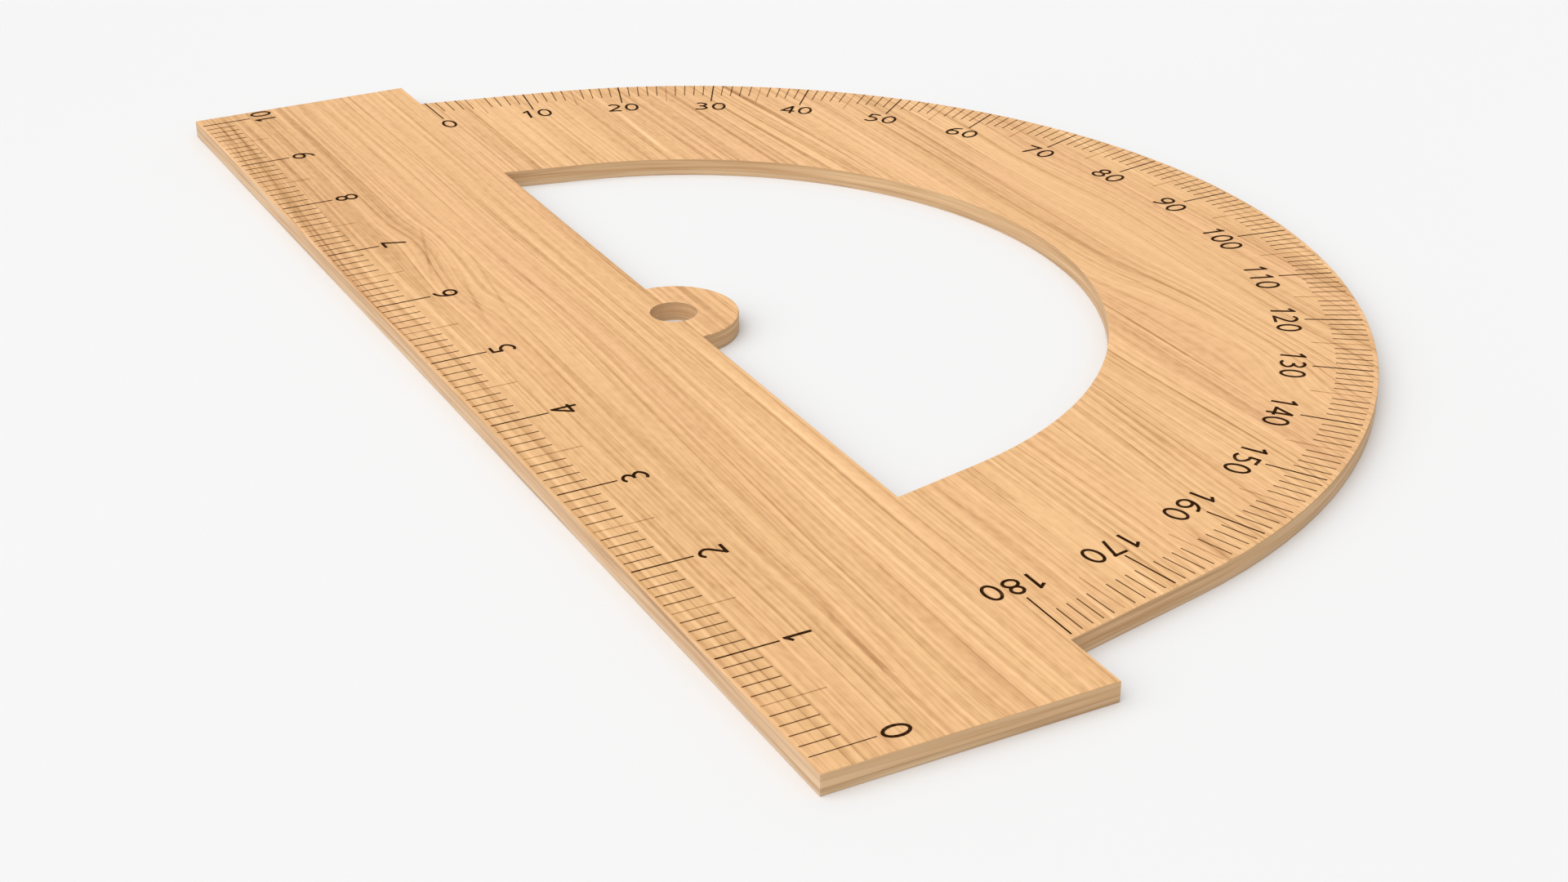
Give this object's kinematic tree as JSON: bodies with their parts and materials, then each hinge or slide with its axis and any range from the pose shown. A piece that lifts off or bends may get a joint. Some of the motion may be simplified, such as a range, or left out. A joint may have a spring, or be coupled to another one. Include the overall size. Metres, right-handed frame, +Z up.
{
  "type": "protractor",
  "caption": "Half-circle wooden protractor with a ruler bar along its base, an open window, a vertex hole in a small tab, and printed degree and centimetre scales.",
  "frame": {"origin": "centre of the vertex hole, on the underside that rests on the paper", "axes": "+X along the ruler towards its zero, +Y from the ruler towards the bow, +Z up out of the printed face"},
  "size_m": [0.103, 0.0637, 0.0013],
  "materials": {
    "face_wood": "satin lacquered pale veneer, grain along X",
    "core_wood": "cut edge of the middle veneer",
    "back_wood": "satin lacquered pale veneer, grain along X",
    "glue": "thin dark glue line",
    "heavy_line_ink": "printed line",
    "medium_line_ink": "printed line",
    "fine_line_ink": "printed line",
    "numeral_ink": "printed numeral"
  },
  "bodies": {
    "root": {"face_veneer": "face_wood", "upper_glue_line": "glue", "core_veneer": "core_wood", "lower_glue_line": "glue", "back_veneer": "back_wood", "ruler_cm_lines": "heavy_line_ink", "ruler_half_cm_lines": "fine_line_ink", "ruler_mm_lines": "medium_line_ink", "ruler_numerals": "numeral_ink", "degree_ten_lines": "heavy_line_ink", "degree_five_lines": "fine_line_ink", "degree_one_lines": "medium_line_ink", "degree_numerals": "numeral_ink"}
  },
  "joints": []
}
